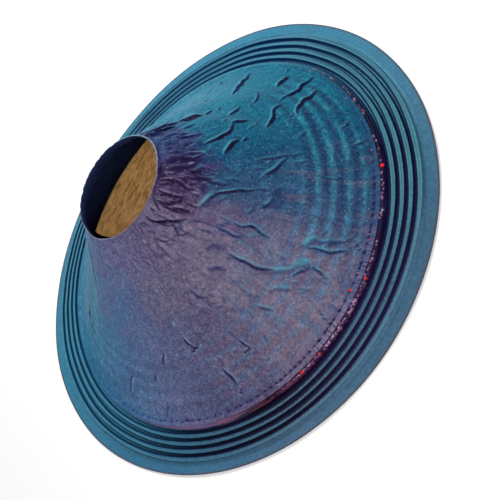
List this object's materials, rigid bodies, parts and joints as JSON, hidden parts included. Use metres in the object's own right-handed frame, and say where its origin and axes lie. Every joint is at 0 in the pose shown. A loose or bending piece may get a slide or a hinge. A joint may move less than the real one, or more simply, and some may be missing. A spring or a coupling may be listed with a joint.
{
  "type": "loudspeaker cone with pleated surround",
  "caption": "Paper loudspeaker cone with pressed ribs and an open neck for a voice coil, cemented to a pleated cloth surround whose flat lip mounts it; the cone travels along its axis.",
  "frame": {"origin": "centre of the lip's front face, the face that it lies on", "axes": "+Z along the axis of the cone, from the lip towards the neck; X and Y are alike, because the part is round"},
  "size_m": [0.3799, 0.38, 0.104],
  "materials": {
    "cone_paper": "wrinkled pressed paper with a thin satin coating, teal to purple grey",
    "doped_cloth": "matte doped woven cloth, teal blue",
    "cement": "glossy dried rubber cement, near black with red glints"
  },
  "bodies": {
    "rim": {"cloth_surround": "doped_cloth"},
    "cone": {"paper_cone": "cone_paper", "edge_cement_film": "cement", "edge_cement_bead": "cement"}
  },
  "joints": [
    {"name": "cone_travel", "type": "slide", "parent": "rim", "child": "cone", "axis": [0, 0, 1], "range_m": [-0.004, 0.004], "stiffness_N_per_m": 1500, "deforming": ["cloth_surround"]}
  ]
}
